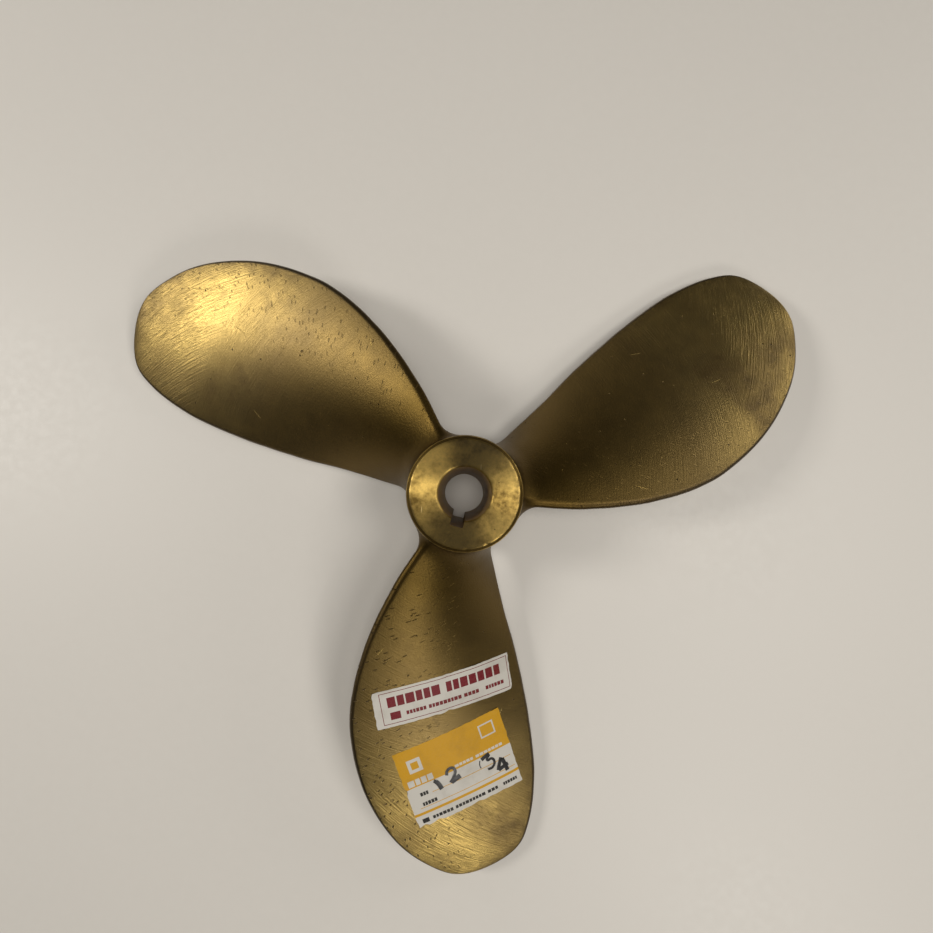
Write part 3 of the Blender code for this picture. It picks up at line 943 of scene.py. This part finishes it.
def printed_sheet(label, prints, curls, tears, name):
    """A label: flat paper cut along its print, coloured, laid on the blade, given a thickness.
    Each print is (left, top, right, bottom, ink) in mm, and later ones cover earlier ones."""
    bm = bmesh.new()
    bmesh.ops.create_grid(bm, x_segments=1, y_segments=1, size=0.5)
    bmesh.ops.scale(bm, vec=(label.length, label.height, 1), verts=bm.verts)
    bmesh.ops.translate(bm, vec=(label.length / 2, label.height / 2, 0), verts=bm.verts)
    cut_along(bm, cut_places(label.length, [p[i] * MM for p in prints for i in (0, 2)]), 0)
    cut_along(bm, cut_places(label.height, [p[i] * MM for p in prints for i in (1, 3)]), 1)
    for face in bm.faces:
        x, y, _ = face.calc_center_median() / MM
        for left, top, right, bottom, ink in prints:
            if left < x < right and top < y < bottom:
                face.material_index = ink
    for vert in bm.verts:
        x, y = worn_outline(label, vert.co.x, vert.co.y, tears)
        vert.co = point_on_label(label, x, y, paper_lift(x, y, curls))
    if sum(face.normal.z for face in bm.faces) < 0:
        bmesh.ops.reverse_faces(bm, faces=bm.faces)
    sheet = new_object(name + "_flat", to_mesh(name, bm, *label_materials()))
    wall = sheet.modifiers.new("Paper", "SOLIDIFY")
    wall.thickness = label.thickness
    wall.offset = 1
    return evaluated_mesh(sheet)


def label_materials():
    colours = settings().colours
    return [
        the_material("white_label_paper", printed_paper, "white_label_paper", colours.paper),
        the_material("amber_print", printed_paper, "amber_print", colours.amber),
        the_material("red_print", printed_paper, "red_print", colours.red),
        the_material("black_print", printed_paper, "black_print", colours.black),
    ]


def framed(left, top, right, bottom, line, ink):
    """The four sides of a printed frame."""
    return [
        (left, top, right, top + line, ink),
        (left, bottom - line, right, bottom, ink),
        (left, top, left + line, bottom, ink),
        (right - line, top, right, bottom, ink),
    ]


def block_row(words, left, right, middle, height, ink, seed):
    """A row of plain blocks standing for words of so many letters each."""
    chance = random.Random(seed)
    widths = [chance.uniform(0.75, 1.2) for _ in range(sum(words))]
    gap, space = 0.22, 0.9
    total = sum(widths) + gap * (sum(words) - len(words)) + space * (len(words) - 1)
    unit = (right - left) / total
    blocks, x = [], left
    for count in words:
        for _ in range(count):
            width = widths.pop() * unit
            blocks.append((x, middle - height / 2, x + width, middle + height / 2, ink))
            x += width + gap * unit
        x += (space - gap) * unit
    return blocks


def quality_print():
    """A thin frame, a bold row and a small row of blocks, all red on white."""
    prints = framed(3, 1, 56.7, 13.8, 0.25, RED)
    prints += block_row((6, 7), 5.8, 53, 5.1, 4.1, RED, seed=3)
    prints += block_row((6, 9, 4), 12.7, 43, 10.7, 1.5, RED, seed=5)
    prints += block_row((6,), 46, 54, 10.7, 1.5, RED, seed=6)
    prints.append((6.2, 9.2, 10.4, 12.2, RED))
    return prints


def size_print():
    """Amber over the upper half with white blocks, then ruled lines and black blocks."""
    prints = [(0, 0, 45.5, 16, AMBER)]
    prints += framed(4.2, 4.6, 9.8, 10.2, 1.3, PAPER)
    prints += framed(35, 3.4, 41.4, 9, 0.6, PAPER)
    prints += block_row((4,), 1.9, 12.3, 14.2, 2.6, PAPER, seed=9)
    prints += block_row((5, 7), 21.6, 42.2, 14.6, 1.1, PAPER, seed=10)
    prints += [(10, 20.4, 44, 20.65, AMBER), (3.4, 25.2, 44.6, 25.45, AMBER)]
    prints.append((0, 27, 45.5, 28.1, AMBER))
    prints += block_row((3,), 5.1, 8.4, 19.8, 1.5, BLACK, seed=11)
    prints += block_row((5,), 4.8, 10.8, 24, 1.5, BLACK, seed=12)
    prints += block_row((6, 9, 3), 6.8, 35, 30.6, 1.3, BLACK, seed=13)
    prints += block_row((6,), 37.5, 43.6, 30.6, 1.3, BLACK, seed=14)
    prints.append((2.4, 29.7, 5.2, 31.6, BLACK))
    return prints


# Curls: place on the paper, reach and height, in mm
QUALITY_CURLS = ((27, 15, 5, 0.5), (43, 0, 7, 0.45), (57, 8, 4, 0.3), (0, 0, 3, 0.25))
SIZE_CURLS = ((0, 16, 3, 0.5), (45.5, 0, 4, 0.45), (15, 33, 4, 0.4), (0, 33, 4, 0.35))

# Tears: place on the paper, reach and depth, in mm
QUALITY_TEARS = ((0, 0, 1.5, 0.6), (57.5, 15, 1.5, 0.5), (30, 15, 2, 0.4))
SIZE_TEARS = ((0, 16.5, 1.5, 0.9), (1.5, 33, 2.5, 1.3), (8, 33, 2, 0.8), (26, 33, 2, 0.5))

# Figures written by hand on the size label: pen half-width, then points in mm on the paper
PEN_STROKES = (
    (0.75, (12.6, 17.0), (13.3, 18.5), (13.9, 21.0)),
    (0.45, (11.9, 17.4), (12.7, 16.2)),
    (0.50, (17.4, 16.6), (18.2, 14.9), (20.4, 14.6), (21.1, 16.2), (19.6, 18.6), (17.9, 20.0)),
    (0.85, (18.3, 20.0), (20.3, 19.5), (22.4, 19.0)),
    (0.16, (31.6, 17.0), (31.0, 18.6), (31.1, 20.2)),
    (0.62, (32.3, 17.0), (34.3, 16.3), (36.0, 16.0)),
    (0.42, (35.9, 16.4), (34.5, 18.1), (36.4, 18.4), (37.0, 20.2), (35.6, 21.9), (33.6, 21.9)),
    (0.60, (40.0, 19.8), (38.6, 22.0), (37.4, 24.2)),
    (0.62, (37.6, 24.3), (39.8, 23.8), (42.0, 23.4)),
    (0.66, (40.3, 20.4), (40.7, 23.0), (41.0, 26.0)),
)


def pen_figures(label):
    """The written figures: each stroke a bevelled curve, pressed flat onto the paper."""
    curve = bpy.data.curves.new("pen_strokes", "CURVE")
    curve.dimensions = "3D"
    curve.bevel_depth = 1.2 * MM
    curve.bevel_resolution = 2
    curve.use_fill_caps = True
    for half_width, *points in PEN_STROKES:
        spline = curve.splines.new("BEZIER")
        spline.bezier_points.add(len(points) - 1)
        for knot, (x, y) in zip(spline.bezier_points, points):
            knot.co = (x * MM, y * MM, 0)
            knot.radius = half_width
            knot.handle_left_type = knot.handle_right_type = "AUTO"
    bm = bmesh.new()
    bm.from_mesh(evaluated_mesh(new_object("pen_strokes", curve)))
    bmesh.ops.remove_doubles(bm, verts=bm.verts, dist=WELD)
    for vert in bm.verts:
        x, y, z = vert.co
        lift = paper_lift(x, y, SIZE_CURLS) + label.thickness
        lift += label.ink * (0.2 + 0.8 * max(0, z / MM))
        vert.co = point_on_label(label, x, y, lift)
    bmesh.ops.recalc_face_normals(bm, faces=bm.faces)
    return to_mesh("size_label_figures", bm, the_material("felt_pen_ink", felt_pen))


# Stage

# The camera looks down the shaft from above the forward face
CAMERA_PLACE = (-2.06 * MM, 1.58 * MM, 278.95 * MM)
CAMERA_TILT = (math.radians(1.792), math.radians(-0.046))
CAMERA_ROLL = math.radians(14.681)
CAMERA_LENS, CAMERA_SENSOR = 27.59, 36  # mm

# Soft boxes: name, azimuth from the camera's right and angle from overhead in degrees,
# distance, size across and towards overhead in metres, and power in watts
SOFT_BOXES = (
    ("left_ceiling_panel", 170, 47, 0.9, 0.16, 0.26, 2.5),
    ("front_ceiling_panel", -57, 47, 0.9, 0.18, 0.24, 1.3),
    ("right_ceiling_panel", -6, 26, 0.9, 0.24, 0.30, 2.2),
    ("low_left_window", 137, 66, 1.2, 0.50, 0.50, 1.0),
    ("right_window", 24, 68, 1.2, 0.40, 0.40, 1.8),
)

# A fill from straight above, which reaches the floor through the bore; metal doesn't mirror it
FILL = ("overhead_fill", 0, 0, 0.9, 0.25, 0.25, 2.4)
LAMP_WHITE, WORLD_WHITE = "FFFBF4", "F6F1E8"
WORLD_STRENGTH = 0.035
FLOOR_HALF = 3  # metres from its middle to its sides
FLOOR_GAP = 0.05 * MM


def add_soft_box(name, azimuth, overhead, distance, width, height, power):
    light = bpy.data.lights.new(name, "AREA")
    light.shape = "RECTANGLE"
    light.size, light.size_y = width, height
    light.energy = power
    light.color = from_hex(LAMP_WHITE)
    turn = CAMERA_ROLL + math.radians(azimuth)
    lean = math.radians(overhead)
    towards = Vector((math.sin(lean) * math.cos(turn), math.sin(lean) * math.sin(turn), math.cos(lean)))
    box = new_object(name, light)
    box.location = towards * distance
    box.rotation_euler = towards.to_track_quat("Z", "Y").to_euler()
    return box


def add_world():
    world = bpy.data.worlds.new("soft_studio")
    world.use_nodes = True
    background = world.node_tree.nodes["Background"]
    background.inputs["Color"].default_value = (*from_hex(WORLD_WHITE), 1)
    background.inputs["Strength"].default_value = WORLD_STRENGTH
    bpy.context.scene.world = world


def add_camera():
    data = bpy.data.cameras.new("camera")
    data.lens = CAMERA_LENS
    data.sensor_width = CAMERA_SENSOR
    data.clip_start = 1 * MM
    camera = new_object("camera", data)
    tilt = Matrix.Rotation(CAMERA_TILT[0], 4, "X") @ Matrix.Rotation(CAMERA_TILT[1], 4, "Y")
    turned = tilt @ Matrix.Rotation(CAMERA_ROLL, 4, "Z")
    camera.matrix_world = Matrix.Translation(CAMERA_PLACE) @ turned
    bpy.context.scene.camera = camera


# Operators


class PROPELLER_OT_hub(Operator):
    """Turn the hub, wear its edges and cut its key seat"""

    bl_idname = "propeller.hub"
    bl_label = "Hub"

    def execute(self, context):
        mesh = hub_casting(context.scene.propeller.hub)
        finish_piece("hub_casting", mesh, "turned_bronze", "hub")
        return {"FINISHED"}


class PROPELLER_OT_blades(Operator):
    """Wrap the three blades round their sections"""

    bl_idname = "propeller.blades"
    bl_label = "Blades"

    def execute(self, context):
        for index, node in enumerate(BLADE_NODES):
            finish_piece(f"{node}_casting", blade_casting(index), "cast_bronze", node)
        return {"FINISHED"}


class PROPELLER_OT_quality_label(Operator):
    """Print the strip label and lay it on the third blade"""

    bl_idname = "propeller.quality_label"
    bl_label = "Quality label"

    def execute(self, context):
        label = context.scene.propeller.strip_label
        mesh = printed_sheet(label, quality_print(), QUALITY_CURLS, QUALITY_TEARS, "quality_label_paper")
        finish_piece("quality_label_paper", mesh, "white_paper", "quality_label")
        return {"FINISHED"}


class PROPELLER_OT_size_label(Operator):
    """Print the size label, lay it on the third blade and write its figures"""

    bl_idname = "propeller.size_label"
    bl_label = "Size label"

    def execute(self, context):
        label = context.scene.propeller.size_label
        mesh = printed_sheet(label, size_print(), SIZE_CURLS, SIZE_TEARS, "size_label_paper")
        finish_piece("size_label_paper", mesh, "yellow_paper", "size_label")
        finish_piece("size_label_figures", pen_figures(label), "yellow_paper")
        return {"FINISHED"}


class PROPELLER_OT_stage(Operator):
    """Lay the floor and set the lights and the camera"""

    bl_idname = "propeller.stage"
    bl_label = "Stage"

    def execute(self, context):
        bm = bmesh.new()
        bmesh.ops.create_grid(bm, x_segments=1, y_segments=1, size=FLOOR_HALF)
        below = context.scene.propeller.hub.bottom - FLOOR_GAP
        bmesh.ops.translate(bm, vec=(0, 0, below), verts=bm.verts)
        mesh = to_mesh("floor", bm, the_material("painted_board", pale_floor))
        new_object("floor", mesh)
        for soft_box in SOFT_BOXES:
            add_soft_box(*soft_box)
        add_soft_box(*FILL).visible_glossy = False
        add_world()
        add_camera()
        context.scene.view_settings.view_transform = "Standard"
        return {"FINISHED"}


class PROPELLER_PT_panel(Panel):
    """The propeller's pieces and their settings"""

    bl_idname = "PROPELLER_PT_panel"
    bl_label = "Boat Propeller"
    bl_space_type = "VIEW_3D"
    bl_region_type = "UI"
    bl_category = "Propeller"

    def draw(self, context):
        for operator in OPERATORS:
            self.layout.operator(operator.bl_idname)
        for name in ("hub", "blade", "strip_label", "size_label", "colours"):
            group = getattr(context.scene.propeller, name)
            box = self.layout.box()
            box.label(text=name.replace("_", " ").capitalize())
            for setting in group.__annotations__:
                box.prop(group, setting)


GROUPS = (HubSizes, BladeSizes, StripLabelSizes, SizeLabelSizes, Colours, PropellerSettings)
OPERATORS = (
    PROPELLER_OT_hub,
    PROPELLER_OT_blades,
    PROPELLER_OT_quality_label,
    PROPELLER_OT_size_label,
    PROPELLER_OT_stage,
)


def register():
    for cls in (*GROUPS, *OPERATORS, PROPELLER_PT_panel):
        bpy.utils.register_class(cls)
    bpy.types.Scene.propeller = PointerProperty(type=PropellerSettings)


def unregister():
    del bpy.types.Scene.propeller
    for cls in reversed((*GROUPS, *OPERATORS, PROPELLER_PT_panel)):
        bpy.utils.unregister_class(cls)


def main():
    register()
    bpy.ops.propeller.hub()
    bpy.ops.propeller.blades()
    bpy.ops.propeller.quality_label()
    bpy.ops.propeller.size_label()
    bpy.ops.propeller.stage()


if __name__ == "__main__":
    main()
